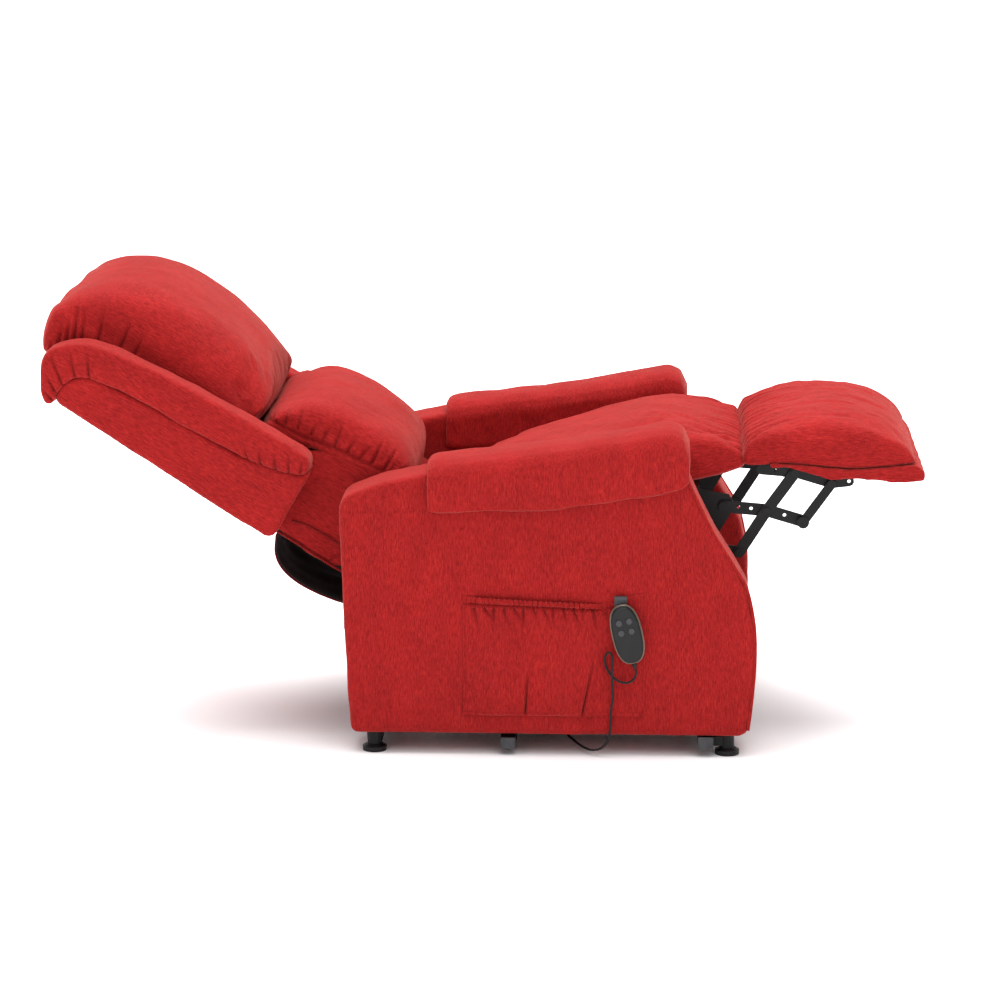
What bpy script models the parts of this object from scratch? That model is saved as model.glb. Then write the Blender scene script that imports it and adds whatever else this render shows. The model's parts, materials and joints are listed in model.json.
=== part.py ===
"""Lift recliner chair: base, lift arms, chair body, tilting seat, reclining back and folding footrest.

The chair stands on Z = 0 and faces -Y; the sitter's right is -X. It is modelled
fully reclined with the footrest out and the lift down. Layout points are
(forward, up) in millimetres, with forward measured from a datum DATUM_BEHIND
in front of the origin.
"""

import math

import bmesh
import bpy
import numpy as np

DATUM_BEHIND = 23.0
GAP = 0.3
SIDES = (("right", -1), ("left", 1))

PANEL_IN, PANEL_OUT = 255.0, 375.0
PANEL_BOTTOM = 41.0
PAD_IN, PAD_OUT = 242.0, 395.0

LIFT_A1, LIFT_C1 = (330.0, 84.9), (-190.0, 62.2)
LIFT_A2, LIFT_C2 = (396.0, 79.9), (65.0, 62.2)
LIFT_MOTOR_PIVOT, LIFT_ROD_PIVOT = (-213.0, 62.0), (300.0, 150.0)
ACTUATOR_PIN = 4.5

SEAT_PIVOT = (60.0, 330.0)
BACK_PIVOT = (-190.0, 400.0)
BACK_MOTOR_PIVOT, BACK_ROD_PIVOT = (150.0, 334.0), (-200.0, 305.0)

FOOT_G1, FOOT_G2 = (390.0, 384.0), (442.0, 467.0)
FOOT_J1, FOOT_J2, FOOT_J3 = (473.0, 377.0), (525.0, 460.0), (596.0, 439.0)
FOOT_J4, FOOT_J5 = (579.0, 536.0), (650.0, 515.0)

SEAT_PLATE = (222.0, 226.0)
FRONT_PLANE = (227.0, 231.0)
OUTER_PLANE = (232.0, 236.0)
INNER_PLANE = (237.0, 241.0)

HANDSET_CENTRE = (257.0, 250.0)
HANDSET_LONG, HANDSET_WIDE = 57.0, 27.5
HANDSET_LEAN = math.radians(13)
HANDSET_BACK, HANDSET_SEAM, HANDSET_FRONT = 386.5, 402.0, 405.0

RED = (0.43, 0.019, 0.021, 1)
DARK_RED = (0.33, 0.013, 0.016, 1)
BLACK = (0.012, 0.012, 0.013, 1)
GREY = (0.10, 0.10, 0.11, 1)
STEEL = (0.45, 0.45, 0.46, 1)
BRONZE = (0.36, 0.27, 0.19, 1)


# ---------------------------------------------------------------- helpers

def clear_scene():
    for item in list(bpy.data.objects):
        bpy.data.objects.remove(item, do_unlink=True)


def finish_material(name, colour, roughness, metallic):
    material = bpy.data.materials.new(name)
    material.use_nodes = True
    shader = material.node_tree.nodes["Principled BSDF"]
    shader.inputs["Base Color"].default_value = colour
    shader.inputs["Roughness"].default_value = roughness
    shader.inputs["Metallic"].default_value = metallic
    material.diffuse_color = colour
    return material


def to_world(point):
    """(x, forward, up) in millimetres to world metres."""
    return (point[0] / 1000, -(point[1] + DATUM_BEHIND) / 1000, point[2] / 1000)


def temp_object(points, faces):
    mesh = bpy.data.meshes.new("solid")
    mesh.from_pydata([to_world(p) for p in points], [], faces)
    work = bmesh.new()
    work.from_mesh(mesh)
    bmesh.ops.recalc_face_normals(work, faces=work.faces)
    work.to_mesh(mesh)
    work.free()
    item = bpy.data.objects.new("solid", mesh)
    bpy.context.scene.collection.objects.link(item)
    return item


def loft(rings):
    """A closed solid through rings of equal length, capped at both ends."""
    count = len(rings[0])
    points = [p for ring in rings for p in ring]
    faces = [tuple(range(count)), tuple(range(len(points) - count, len(points)))]
    for row in range(len(rings) - 1):
        for i in range(count):
            j = (i + 1) % count
            a, b = row * count, (row + 1) * count
            faces.append((a + i, a + j, b + j, b + i))
    return temp_object(points, faces)


def bevelled(item, size, segments=1):
    work = bmesh.new()
    work.from_mesh(item.data)
    sharp = [e for e in work.edges if e.calc_face_angle(0) > math.radians(28)]
    bmesh.ops.bevel(
        work, geom=sharp, offset=size / 1000, segments=segments, profile=0.5,
        affect="EDGES", clamp_overlap=True,
    )
    work.to_mesh(item.data)
    work.free()
    return item


def prism(outline, x0, x1, bevel=0.0):
    """A side-view outline of (forward, up) points, pulled across from x0 to x1."""
    item = loft([[(x, f, z) for f, z in outline] for x in (x0, x1)])
    return bevelled(item, bevel) if bevel else item


def box(x0, x1, f0, f1, z0, z1, bevel=0.0):
    return prism([(f0, z0), (f1, z0), (f1, z1), (f0, z1)], x0, x1, bevel)


def rod(start, end, radius, end_radius=None, count=12):
    """A round bar between two (x, forward, up) points, tapering if end_radius is given."""
    start, end = np.array(start, float), np.array(end, float)
    along = (end - start) / np.linalg.norm(end - start)
    side = np.cross(along, (0.0, 0.0, 1.0) if abs(along[2]) < 0.9 else (1.0, 0.0, 0.0))
    side /= np.linalg.norm(side)
    other = np.cross(along, side)
    turns = [2 * math.pi * i / count for i in range(count)]
    rings = []
    for centre, r in ((start, radius), (end, end_radius or radius)):
        rings.append([centre + r * (side * math.cos(t) + other * math.sin(t)) for t in turns])
    return loft(rings)


def cross_rod(point, x0, x1, radius, count=12):
    return rod((x0, *point), (x1, *point), radius, count=count)


def bar_outline(start, end, width, arc=5):
    """A flat link with round ends."""
    angle = math.atan2(end[1] - start[1], end[0] - start[0])
    outline = []
    for centre, turn in ((end, angle - math.pi / 2), (start, angle + math.pi / 2)):
        for i in range(arc + 1):
            t = turn + math.pi * i / arc
            outline.append((centre[0] + width / 2 * math.cos(t), centre[1] + width / 2 * math.sin(t)))
    return outline


def bar(start, end, width, x0, x1):
    return prism(bar_outline(start, end, width), x0, x1)


def smooth_loop(points, count):
    """Evenly spaced points on a closed smooth curve through the given ones."""
    knots = np.array(points, float)
    n = len(knots)
    fine = []
    for i in range(n):
        p0, p1, p2, p3 = (knots[(i + k) % n] for k in (-1, 0, 1, 2))
        for t in np.linspace(0, 1, 12, endpoint=False):
            fine.append(
                0.5 * (2 * p1 + (p2 - p0) * t + (2 * p0 - 5 * p1 + 4 * p2 - p3) * t**2
                       + (3 * p1 - p0 - 3 * p2 + p3) * t**3)
            )
    fine = np.array(fine + [fine[0]])
    run = np.concatenate([[0], np.cumsum(np.linalg.norm(np.diff(fine, axis=0), axis=1))])
    where = np.linspace(0, run[-1], count, endpoint=False)
    return [(np.interp(s, run, fine[:, 0]), np.interp(s, run, fine[:, 1])) for s in where]


def pillow(outline, x0, x1, base, lie, end=0.5, count=28, rows=7):
    """A soft closed form: what rises above its bed sinks towards both ends.

    The bed is the line through base at the angle lie; end is the share of the
    height that is left at the ends.
    """
    ring = np.array(smooth_loop(outline, count))
    up = np.array([-math.sin(math.radians(lie)), math.cos(math.radians(lie))])
    height = np.maximum((ring - np.array(base)) @ up, 0)
    middle = ring.mean(axis=0)
    rings = []
    for i in range(rows):
        s = -math.cos(math.pi * i / (rows - 1))
        share = end + (1 - end) * (1 - abs(s) ** 2.6) ** (1 / 2.6)
        inset = 0.03 * abs(s) ** 6
        shape = ring - np.outer(height * (1 - share), up)
        x = (x0 + x1) / 2 + (x1 - x0) / 2 * s
        rings.append([(x, *(p + (middle - p) * inset)) for p in shape])
    return loft(rings)


def weld(mesh):
    """Closes the hairline doubles that a Boolean can leave."""
    work = bmesh.new()
    work.from_mesh(mesh)
    bmesh.ops.remove_doubles(work, verts=work.verts, dist=5e-6)
    bmesh.ops.dissolve_degenerate(work, edges=work.edges, dist=5e-6)
    work.to_mesh(mesh)
    work.free()


def combined(name, look, adds, cuts=(), origin=(0.0, -DATUM_BEHIND, 0.0)):
    """One named solid from overlapping ones. origin is where its joint axis passes."""
    result = adds[0]
    for kind, others in (("UNION", adds[1:]), ("DIFFERENCE", cuts)):
        for other in others:
            modifier = result.modifiers.new(kind, "BOOLEAN")
            modifier.operation = kind
            modifier.solver = "EXACT"
            modifier.object = other
    graph = bpy.context.evaluated_depsgraph_get()
    mesh = bpy.data.meshes.new_from_object(result.evaluated_get(graph))
    for item in (*adds, *cuts):
        bpy.data.objects.remove(item, do_unlink=True)
    weld(mesh)
    centre = to_world(origin)
    for vertex in mesh.vertices:
        vertex.co = [a - b for a, b in zip(vertex.co, centre)]
    mesh.materials.clear()
    mesh.materials.append(finish_material(name, *look))
    mesh.name = name
    item = bpy.data.objects.new(name, mesh)
    item.location = centre
    bpy.context.scene.collection.objects.link(item)
    return item


def stud(side, point, x0, x1, head_x0, head_x1, radius=6.0, head=10.0):
    return [cross_rod(point, side * x0, side * x1, radius), cross_rod(point, side * head_x0, side * head_x1, head)]


FABRIC = (RED, 0.85, 0.0)
DARK_FABRIC = (DARK_RED, 0.9, 0.0)
BLACK_METAL = (BLACK, 0.38, 0.6)
BLACK_PLASTIC = (BLACK, 0.45, 0.0)
GREY_PLASTIC = (GREY, 0.5, 0.0)
BARE_STEEL = (STEEL, 0.3, 1.0)


# ---------------------------------------------------------------- base

def build_base():
    adds = [box(-369, 369, 13, 42, 12, 35)]
    adds.append(box(-369, 369, 395, 425, 16, 40))
    adds.append(box(-330, 330, -248, -220, 14, 38))
    for s in (-1, 1):
        adds.append(box(s * 200, s * 225, -240, 410, 15, 37))
        adds.append(rod((s * 340, -234, 12.3), (s * 340, -234, 38.4), 13.5, 15.5))
        adds.append(rod((s * 340, 452, 12.3), (s * 340, 452, 38.4), 14))
        adds.append(box(s * 329, s * 351, 410, 450, 18, 36))
        lug = [(300, 30), (424, 30), (424, 62), (410, 97), (318, 101), (304, 84)]
        adds.append(prism(lug, s * 210, s * 216))
        adds += stud(s, LIFT_A1, 193, 212, 191.5, 195.7)
        adds += stud(s, LIFT_A2, 214, 230, 228.3, 232)
        ear = [(-240, 30), (-200, 30), (-199, 66), (-206, 75), (-220, 75), (-228, 66)]
        adds.append(prism(ear, s * 18, s * 23))
    adds.append(cross_rod(LIFT_MOTOR_PIVOT, -20, 20, 5))
    combined("base_frame", BLACK_METAL, adds)


def build_feet():
    for end, forward in (("front", 452), ("rear", -234)):
        for word, s in SIDES:
            disc = rod((s * 340, forward, 0), (s * 340, forward, 9), 23.5, count=24)
            neck = rod((s * 340, forward, 8), (s * 340, forward, 12), 23, 18, count=24)
            combined(f"glide_foot_{end}_{word}", BLACK_PLASTIC, [disc, neck])
    for place, f0, f1, z0, z1 in (("front", 395, 425, 16, 40), ("middle", 13, 42, 12, 35)):
        for word, s in SIDES:
            cap = box(s * 369.3, s * 374, f0, f1, z0, z1, bevel=1.5)
            combined(f"tube_cap_{place}_{word}", GREY_PLASTIC, [cap])


def build_lift_arms():
    adds = [cross_rod((304, 81), -200, 200, 11), cross_rod(LIFT_ROD_PIVOT, -20, 20, ACTUATOR_PIN)]
    cuts = []
    lever = [(292, 84), (293, 74), (304, 69), (315, 75), (313, 150), (308, 160), (300, 163), (291, 160), (287, 150)]
    for s in (-1, 1):
        adds.append(prism(lever, s * 17, s * 22))
        adds.append(bar(LIFT_A1, LIFT_C1, 30, s * 196, s * 206))
        cuts.append(cross_rod(LIFT_A1, s * 190, s * 209, 6.3))
        cuts.append(cross_rod(LIFT_C1, s * 190, s * 209, 6.3))
    combined("rear_lift_arms", BLACK_METAL, adds, cuts, origin=(0, *LIFT_A1))
    for word, s in SIDES:
        adds = [bar(LIFT_A2, LIFT_C2, 28, s * 218, s * 228)]
        cuts = [cross_rod(LIFT_A2, s * 215, s * 231, 6.3), cross_rod(LIFT_C2, s * 215, s * 231, 7.4)]
        combined(f"front_lift_arm_{word}", BLACK_METAL, adds, cuts, origin=(s * 223, *LIFT_A2))


def build_actuator(name, motor_pivot, rod_pivot, tube_length, play, motor_side):
    """A motor with its outer tube, and the push rod that slides in the tube.

    play is the clearance of the rod's eye around its pin.
    """
    start, end = np.array(motor_pivot), np.array(rod_pivot)
    reach = np.linalg.norm(end - start)
    along = (end - start) / reach
    across = motor_side * np.array([-along[1], along[0]])

    def at(distance, off=0.0):
        return (0.0, *(start + along * distance + across * off))

    adds = [cross_rod(motor_pivot, -15, 15, 13)]
    adds.append(rod(at(6), at(70), 17))
    adds.append(rod(at(60), at(tube_length), 19))
    adds.append(rod(at(54, 8), at(54, 52), 18))
    adds.append(rod(at(46, 40), at(134, 40), 18))
    cuts = [cross_rod(motor_pivot, -18, 18, 5.3), rod(at(85), at(tube_length + 20), 10.4)]
    combined(f"{name}_motor", BLACK_PLASTIC, adds, cuts, origin=(0, *motor_pivot))
    adds = [rod(at(95), at(reach - 6), 10)]
    adds.append(cross_rod(rod_pivot, -14, 14, 13))
    cuts = [cross_rod(rod_pivot, -17, 17, ACTUATOR_PIN + play, count=16)]
    combined(f"{name}_rod", BARE_STEEL, adds, cuts, origin=(0, *rod_pivot))


# ---------------------------------------------------------------- chair body

def build_lift_frame():
    adds = [box(-240, 240, -225, -195, 105, 135), box(-240, 240, 345, 373, 105, 135)]
    for s in (-1, 1):
        adds.append(box(s * 234.7, s * 254.7, -225, 440, 104, 136))
        rear = [(-216, 110), (-164, 110), (-174, 54), (-184, 47), (-196, 47), (-206, 54)]
        adds.append(prism(rear, s * 184, s * 192))
        adds += stud(s, LIFT_C1, 188, 209, 206.3, 210)
        middle = [(38, 110), (92, 110), (82, 54), (72, 47), (58, 47), (48, 54)]
        adds.append(prism(middle, s * 232, s * 239))
        adds += stud(s, LIFT_C2, 234, 214, 213.4, 217.6)
        upright = [(28, 130), (92, 130), (78, 335), (70, 348), (50, 348), (42, 335)]
        adds.append(prism(upright, s * 235, s * 240))
        adds += stud(s, SEAT_PIVOT, 237, 219, 217.5, 221.7)
    combined("lift_frame", BLACK_METAL, adds)


PANEL_OUTLINE = [
    (-279, 41), (-292, 307), (-298, 494), (-285, 512), (-217, 538), (-131, 556),
    (100, 576), (325, 612), (348, 606), (374, 543), (394, 500), (423, 442),
    (462, 380), (487, 335), (502, 266), (505, 197), (500, 117), (493, 55), (484, 41),
]


def grown(outline, amount):
    """The outline moved outwards by amount."""
    points = np.array(outline, float)
    before, after = np.roll(points, 1, axis=0), np.roll(points, -1, axis=0)
    first, second = points - before, after - points
    normals = [np.stack([-d[:, 1], d[:, 0]], axis=1) / np.linalg.norm(d, axis=1)[:, None] for d in (first, second)]
    middle = normals[0] + normals[1]
    middle /= (middle * normals[0]).sum(axis=1)[:, None]
    return [tuple(p) for p in points + amount * middle]


def build_side_panels():
    for word, s in SIDES:
        panel = prism(PANEL_OUTLINE, s * PANEL_IN, s * PANEL_OUT, bevel=7)
        combined(f"side_panel_{word}", FABRIC, [panel])


PAD_STATIONS = (
    (-128, 575, 486), (-112, 583, 480), (0, 597, 484), (125, 612, 488), (230, 630, 506),
    (335, 649, 523), (360, 640, 531), (374, 610, 545),
)


def pad_ring(side, forward, ridge, hem):
    """A section of the arm pad: crowned top, with a flap down each face of the arm."""
    section = [(PAD_IN + 6, hem), (PAD_IN, hem + 8), (PAD_IN, ridge - 34), (252, ridge - 16), (268, ridge - 6),
               (290, ridge - 1), (322, ridge),
               (356, ridge - 3), (380, ridge - 12), (392, ridge - 30), (PAD_OUT, (ridge + hem) / 2 - 10),
               (393, hem + 6), (388, hem)]
    return [(side * x, forward, z) for x, z in section]


def build_arm_pads():
    for word, s in SIDES:
        block = loft([pad_ring(s, *station) for station in PAD_STATIONS])
        room = prism(grown(PANEL_OUTLINE, GAP), s * (PANEL_IN - GAP), s * (PANEL_OUT + GAP))
        combined(f"arm_pad_{word}", FABRIC, [block], [room])


def build_pocket():
    """The magazine pocket, full in the pleated middle and flat towards the front."""
    stations = ((-61, 3), (-50, 12), (20, 18), (120, 19), (190, 15), (214, 5.6), (284, 5.2), (292, 3))
    rings = []
    for forward, depth in stations:
        inner, outer = -(PANEL_OUT + GAP), -(PANEL_OUT + GAP + depth)
        rings.append([(inner, forward, 82), (outer + 1, forward, 82), (outer, forward, 90),
                      (outer + 0.25 * depth, forward, 180), (outer, forward, 300),
                      (outer + 1, forward, 320), (inner, forward, 320)])
    hollow = box(-370, -382.5, -10, 160, 96, 330)
    combined("side_pocket", FABRIC, [loft(rings)], [hollow])


# ---------------------------------------------------------------- seat

def build_seat_frame():
    plate = [
        (-212, 392), (-206, 414), (-190, 422), (-60, 388), (395, 500), (452, 490), (463, 470), (452, 446),
        (412, 378), (402, 366), (384, 364), (370, 380), (352, 428), (200, 382), (92, 350), (78, 320),
        (66, 311), (50, 312), (38, 326), (20, 350), (-60, 352), (-180, 378), (-200, 380),
    ]
    adds, cuts = [], []
    for s in (-1, 1):
        adds.append(prism(plate, s * SEAT_PLATE[0], s * SEAT_PLATE[1]))
        adds += stud(s, FOOT_G1, 224, 233, 231.3, 234.5, radius=5)
        adds += stud(s, FOOT_G2, 224, 233, 231.3, 234.5, radius=5)
        cuts += [cross_rod(SEAT_PIVOT, s * 220.5, s * 228, 6.3), cross_rod(BACK_PIVOT, s * 220.5, s * 228, 6.3)]
        ear = [(136, 392), (164, 392), (163, 330), (156, 321), (144, 321), (137, 330)]
        adds.append(prism(ear, s * 18, s * 23))
    for point in ((350, 460), (150, 398), (-120, 384)):
        adds.append(cross_rod(point, -224, 224, 11))
    adds.append(cross_rod(BACK_MOTOR_PIVOT, -20, 20, 5))
    combined("seat_frame", BLACK_METAL, adds, cuts, origin=(0, *SEAT_PIVOT))


def build_seat():
    deck = prism([(-58, 388.9), (394, 500.4), (394, 511.2), (-58, 399.6)], -246, 246)
    combined("seat_deck", BLACK_PLASTIC, [deck], origin=(0, *SEAT_PIVOT))
    outline = [(-95, 466), (-66, 486), (0, 517), (86, 549), (197, 584), (297, 613), (396, 627), (446, 615),
               (474, 582), (474, 551), (438, 526), (395, 516), (170, 461), (-48, 407), (-66, 432)]
    combined("seat_cushion", FABRIC, [pillow(outline, -239, 239, (395, 516), 13.8, end=0.66)],
             origin=(0, *SEAT_PIVOT))


# ---------------------------------------------------------------- back

def build_back():
    origin = (0, *BACK_PIVOT)
    plate = [(-168, 398), (-176, 416), (-192, 423), (-290, 468), (-350, 535), (-412, 428), (-300, 352),
             (-200, 379), (-178, 380)]
    adds = [cross_rod((-243, 398), -230, 230, 10)]
    for s in (-1, 1):
        adds.append(prism(plate, s * 228, s * 232))
        adds += stud(s, BACK_PIVOT, 230, 219, 217.5, 221.7)
        arm = [(-254, 396), (-236, 406), (-188, 313), (-190, 297), (-203, 291), (-214, 300)]
        adds.append(prism(arm, s * 18, s * 23))
    adds.append(cross_rod(BACK_ROD_PIVOT, -20, 20, ACTUATOR_PIN))
    combined("back_frame", BLACK_METAL, adds, origin=origin)
    upper = [(-846, 686), (-834, 675), (-439, 418), (-425, 424), (-355, 549), (-376, 542), (-490, 580),
             (-662, 676), (-767, 729), (-800, 731), (-825, 722), (-841, 704)]
    lower = [(-436, 414), (-306, 339), (-292, 479), (-358, 546), (-420, 500)]
    shell = [prism(upper, -335, 335, bevel=5), prism(lower, -226, 226)]
    combined("back_shell", FABRIC, shell, origin=origin)
    wing = [(-874, 738), (-868, 772), (-848, 790), (-803, 797), (-755, 789), (-660, 738), (-508, 641),
            (-364, 592), (-353, 572), (-374, 552), (-488, 590), (-659, 686), (-766, 739), (-806, 743),
            (-834, 732), (-851, 706), (-855, 684), (-866, 680), (-872, 700)]
    for word, s in SIDES:
        combined(f"wing_bolster_{word}", FABRIC, [pillow(wing, s * 268, s * 345, (-488, 590), -32, 0.6, count=44)],
                 origin=origin)
    head = [(-880, 770), (-862, 835), (-815, 888), (-727, 912), (-645, 895), (-575, 853), (-495, 792),
            (-440, 748), (-412, 708), (-416, 690), (-456, 655), (-494, 612), (-655, 702), (-766, 755), (-850, 733)]
    combined("head_pillow", FABRIC, [pillow(head, -263, 263, (-492, 608), -32, 0.42)], origin=origin)
    lumbar = [(-462, 618), (-436, 648), (-372, 680), (-304, 670), (-239, 634), (-180, 588), (-157, 543),
              (-165, 490), (-205, 466), (-276, 500), (-345, 566), (-400, 582), (-462, 600)]
    combined("lumbar_pillow", FABRIC, [pillow(lumbar, -239, 239, (-205, 500), -32, 0.5)], origin=origin)
    flap = [(-433, 399), (-431, 351), (-392, 315), (-333, 281), (-307, 262), (-302, 268), (-327, 289),
            (-386, 324), (-422, 355), (-424, 397)]
    combined("rear_flap", DARK_FABRIC, [prism(flap, -225, 225)], origin=origin)


# ---------------------------------------------------------------- footrest

def link(name, side, points, width, plane, holes, studs, origin):
    """A flat link through its points, with plain holes and headed studs."""
    x0, x1 = side * plane[0], side * plane[1]
    adds = [bar(a, b, width, x0, x1) for a, b in zip(points, points[1:])]
    for point, reach, head in studs:
        inner = side * (plane[0] + 2)
        adds.append(cross_rod(point, inner, side * reach, 5))
        adds.append(cross_rod(point, side * (reach - 0.7), side * (reach + 2.4), head))
    cuts = [cross_rod(p, side * (plane[0] - 3), side * (plane[1] + 3), r) for p, r in holes]
    return combined(name, BLACK_METAL, adds, cuts, origin=(x0, *origin))


def build_footrest_links():
    spare = [((470, 466.5), 3.5), ((495, 463.5), 3.5), ((560, 451), 3.5)]
    for word, s in SIDES:
        link(f"footrest_front_link_{word}", s, [FOOT_G2, FOOT_J2, FOOT_J3], 24, FRONT_PLANE,
             [(FOOT_G2, 5.3), *spare], [(FOOT_J2, 237, 8), (FOOT_J3, 242, 12)], FOOT_G2)
        link(f"footrest_rear_link_{word}", s, [FOOT_G1, FOOT_J1], 22, FRONT_PLANE,
             [(FOOT_G1, 5.3)], [(FOOT_J1, 237, 8)], FOOT_G1)
        link(f"footrest_outer_link_{word}", s, [FOOT_J1, FOOT_J2, FOOT_J4], 22, OUTER_PLANE,
             [(FOOT_J1, 5.3), (FOOT_J2, 5.3), (FOOT_J4, 5.3)], [], FOOT_J2)
        link(f"footrest_inner_link_{word}", s, [FOOT_J3, FOOT_J5], 18, INNER_PLANE,
             [(FOOT_J3, 5.3), (FOOT_J5, 5.3)], [], FOOT_J3)
        adds = [((514, 541), FOOT_J4), (FOOT_J4, FOOT_J5), (FOOT_J5, (688, 518))]
        points = [adds[0][0], FOOT_J4, FOOT_J5, (684, 519)]
        link(f"footrest_bracket_{word}", s, points, 20, FRONT_PLANE,
             [((684, 519), 3.5), ((540, 540), 3.5)], [(FOOT_J4, 237, 8), (FOOT_J5, 242, 9)], FOOT_J4)


def build_footrest():
    origin = (0, *FOOT_J4)
    board = [(530, 550.8), (579, 547.5), (650, 526.5), (692, 530), (791, 521), (829, 527), (828, 540),
             (812, 554), (742, 547.5), (684, 543.5), (568, 553), (532, 554)]
    combined("footrest_board", FABRIC, [prism(board, -252, 252)], origin=origin)
    pad = [(486, 600), (500, 625), (576, 647), (675, 653), (755, 630), (800, 596), (812, 570), (800, 558),
           (742, 552), (684, 548), (568, 558), (496, 553), (485, 570)]
    combined("footrest_pad", FABRIC, [pillow(pad, -250, 250, (496, 553), 0, 0.6)], origin=origin)


# ---------------------------------------------------------------- handset and electrics

def handset_point(along, across):
    """A point on the handset, measured along its length and across it, seen from the side."""
    c, s = math.cos(HANDSET_LEAN), math.sin(HANDSET_LEAN)
    return (HANDSET_CENTRE[0] - along * s + across * c, HANDSET_CENTRE[1] + along * c + across * s)


def handset_oval(extra, count=24):
    turns = [2 * math.pi * i / count for i in range(count)]
    long, wide = HANDSET_LONG + extra, HANDSET_WIDE + extra
    squared = [[math.copysign(abs(v) ** 0.78, v) for v in (math.cos(t), math.sin(t))] for t in turns]
    return [handset_point(long * along, wide * across) for along, across in squared]


def build_handset():
    buttons = [handset_point(a, b) for a in (26, 6) for b in (-10, 10)]
    shell = [prism(handset_oval(0), -HANDSET_BACK, -HANDSET_SEAM, bevel=1.2)]
    wells = [cross_rod(p, -(HANDSET_SEAM - 4), -(HANDSET_SEAM + 1), 6.8) for p in buttons]
    combined("handset_shell", BLACK_PLASTIC, shell, wells)
    face = [prism(handset_oval(-2), -(HANDSET_SEAM + GAP), -HANDSET_FRONT, bevel=0.8)]
    holes = [cross_rod(p, -(HANDSET_SEAM - 1), -(HANDSET_FRONT + 2), 6.8) for p in buttons]
    combined("handset_face", BLACK_PLASTIC, face, holes)
    rim = [prism(handset_oval(2.6), -390, -398, bevel=0.8)]
    room = [prism(handset_oval(GAP), -388, -400)]
    combined("handset_rim", (BRONZE, 0.3, 0.8), rim, room)
    for number, point in enumerate(buttons, 1):
        cap = bevelled(cross_rod(point, -401, -407, 6.3), 0.6)
        combined(f"handset_button_{number}", GREY_PLASTIC, [cap], origin=(-404, *point))
    low, lower = handset_point(-HANDSET_LONG - 3.5, 0), handset_point(-HANDSET_LONG - 12, 0)
    relief = rod((-394, *low), (-394, *lower), 5, 3.6)
    combined("handset_strain_relief", BLACK_PLASTIC, [relief])
    hook = [box(-386.1, -382.3, 232, 256, 262, 322), box(-390, -382.3, 232, 256, 316, 322)]
    combined("handset_hook", GREY_PLASTIC, hook)


def build_electrics():
    combined("control_box", BLACK_PLASTIC, [box(-180, -90, -194.7, -104, 104, 146, bevel=3)])
    combined("mains_inlet", GREY_PLASTIC, [box(-168, -138, -103.7, -92, 112, 136, bevel=2)])
    combined("cord_gland", GREY_PLASTIC, [rod((-180.3, -130, 125), (-193, -130, 125), 7, 5)])


def smooth_path(route, spacing):
    """Points about spacing apart on a smooth curve through the route."""
    knots = np.array(route, float)
    padded = np.vstack([2 * knots[0] - knots[1], knots, 2 * knots[-1] - knots[-2]])
    fine = []
    for i in range(1, len(padded) - 2):
        p0, p1, p2, p3 = padded[i - 1:i + 3]
        for t in np.linspace(0, 1, 24, endpoint=False):
            fine.append(
                0.5 * (2 * p1 + (p2 - p0) * t + (2 * p0 - 5 * p1 + 4 * p2 - p3) * t**2
                       + (3 * p1 - p0 - 3 * p2 + p3) * t**3)
            )
    fine = np.array(fine + [knots[-1]])
    run = np.concatenate([[0], np.cumsum(np.linalg.norm(np.diff(fine, axis=0), axis=1))])
    where = np.linspace(0, run[-1], max(2, round(run[-1] / spacing)))
    return [[np.interp(s, run, fine[:, k]) for k in range(3)] for s in where]


def build_cord():
    """The handset lead: down the panel, in below it and up to the control box."""
    start, lead, onward = ((-394, *handset_point(-HANDSET_LONG - d, 0)) for d in (12.6, 18, 23))
    route = [start, lead, onward, (-393, 270, 160), (-391, 256, 152),
             (-389, 236, 158), (-387, 220, 176), (-387, 214, 198), (-389, 221, 213), (-392, 229, 204),
             (-393, 228, 184), (-390, 229, 150), (-387, 230, 122), (-385, 227, 94), (-385, 226, 62), (-384, 221, 36),
             (-379, 208, 18), (-370, 188, 12), (-330, 168, 9), (-285, 148, 12), (-250, 110, 34), (-243, 40, 68),
             (-236, -30, 84), (-224, -80, 100), (-216, -114, 120), (-205, -129, 125), (-193.6, -130, 125)]
    curve = bpy.data.curves.new("handset_cord", "CURVE")
    curve.dimensions = "3D"
    curve.bevel_depth = 0.0023
    curve.bevel_resolution = 2
    curve.use_fill_caps = True
    points = smooth_path(route, 13)
    spline = curve.splines.new("POLY")
    spline.points.add(len(points) - 1)
    for slot, point in zip(spline.points, points):
        slot.co = (*to_world(point), 1)
    curve.materials.append(finish_material("handset_cord", BLACK, 0.5, 0.0))
    item = bpy.data.objects.new("handset_cord", curve)
    bpy.context.scene.collection.objects.link(item)


def main():
    clear_scene()
    build_base()
    build_feet()
    build_lift_arms()
    build_actuator("lift_actuator", LIFT_MOTOR_PIVOT, LIFT_ROD_PIVOT, 330, 4.0, 1)
    build_lift_frame()
    build_side_panels()
    build_arm_pads()
    build_pocket()
    build_seat_frame()
    build_seat()
    build_back()
    build_actuator("back_actuator", BACK_MOTOR_PIVOT, BACK_ROD_PIVOT, 255, 3.1, 1)
    build_footrest_links()
    build_footrest()
    build_handset()
    build_electrics()
    build_cord()


main()
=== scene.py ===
"""Looks of the lift recliner chair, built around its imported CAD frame."""

import json
import math

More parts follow.
